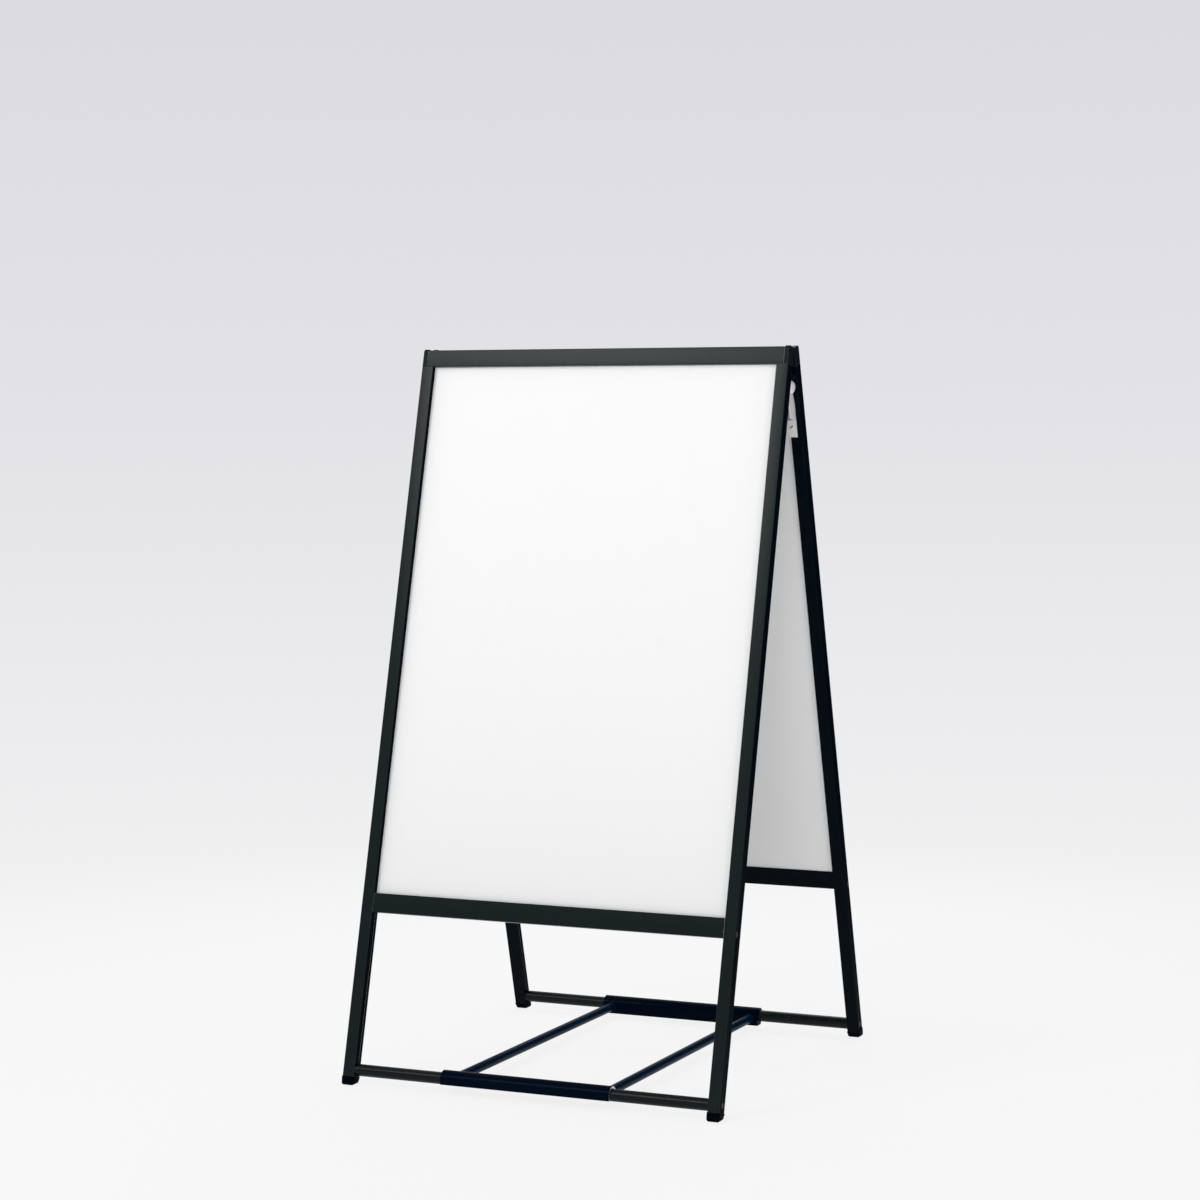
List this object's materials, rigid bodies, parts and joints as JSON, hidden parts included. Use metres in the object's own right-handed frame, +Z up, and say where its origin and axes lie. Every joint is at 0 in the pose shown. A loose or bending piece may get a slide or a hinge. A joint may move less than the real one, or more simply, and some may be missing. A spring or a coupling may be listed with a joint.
{
  "type": "a-frame pavement sign",
  "caption": "Folding A-frame pavement sign: two black-framed white panels hinged near the top, with a swinging stay that hooks over the front bottom tube.",
  "frame": {"origin": "on the floor, under the centre of the opened sign", "axes": "+Z up, the front panel faces -Y, +X to the right of someone who faces the front panel"},
  "size_m": [0.6416, 0.657, 1.1577],
  "materials": {
    "profile_black": "satin black coated extrusion with fine lengthways grain",
    "tube_black": "satin black coated round tube",
    "corner_black": "moulded black plastic with a fine sheen",
    "foot_black": "soft black moulded plastic, scuffed at the sole",
    "panel_white": "white coated board with a faint tooth",
    "hinge_steel": "bright zinc-plated sheet steel",
    "pin_steel": "bright zinc-plated rivets and slotted screws",
    "screw_black": "blackened steel screws",
    "stay_black": "blue-black semi-gloss coated extrusion",
    "rod_black": "blue-black semi-gloss coated tube",
    "plug_black": "hidden moulded plug"
  },
  "bodies": {
    "front_frame": {"front_stile_left": "profile_black", "front_stile_right": "profile_black", "front_top_rail": "profile_black", "front_mid_rail": "profile_black", "front_bottom_tube": "tube_black", "front_tube_plugs": "plug_black", "front_panel": "panel_white", "front_corner_left": "corner_black", "front_corner_right": "corner_black", "front_foot_left": "foot_black", "front_foot_right": "foot_black", "front_hinge_leaf_left": "hinge_steel", "front_hinge_leaf_right": "hinge_steel", "front_side_screws": "screw_black", "front_corner_screws": "screw_black", "front_hinge_screws": "pin_steel", "hinge_pin_left": "pin_steel", "hinge_pin_right": "pin_steel"},
    "rear_frame": {"rear_stile_left": "profile_black", "rear_stile_right": "profile_black", "rear_top_rail": "profile_black", "rear_mid_rail": "profile_black", "rear_bottom_tube": "tube_black", "rear_tube_plugs": "plug_black", "rear_panel": "panel_white", "rear_corner_left": "corner_black", "rear_corner_right": "corner_black", "rear_foot_left": "foot_black", "rear_foot_right": "foot_black", "rear_hinge_leaf_left": "hinge_steel", "rear_hinge_leaf_right": "hinge_steel", "rear_side_screws": "screw_black", "rear_corner_screws": "screw_black", "rear_hinge_screws": "pin_steel"},
    "stay": {"stay_hook": "stay_black", "stay_sleeve": "stay_black", "stay_rod_left": "rod_black", "stay_rod_right": "rod_black"}
  },
  "joints": [
    {"name": "frame_fold", "type": "hinge", "parent": "front_frame", "child": "rear_frame", "pos_m": [0, 0, 1.09242], "axis": [-1, 0, 0], "range_deg": [0, 29.8]},
    {"name": "stay_swing", "type": "hinge", "parent": "rear_frame", "child": "stay", "pos_m": [0, 0.31142, 0.0222], "axis": [-1, 0, 0], "range_deg": [0, 53.64]}
  ],
  "couplings": [
    {"joint": "stay_swing", "follows": "frame_fold", "ratio": 1.8}
  ]
}
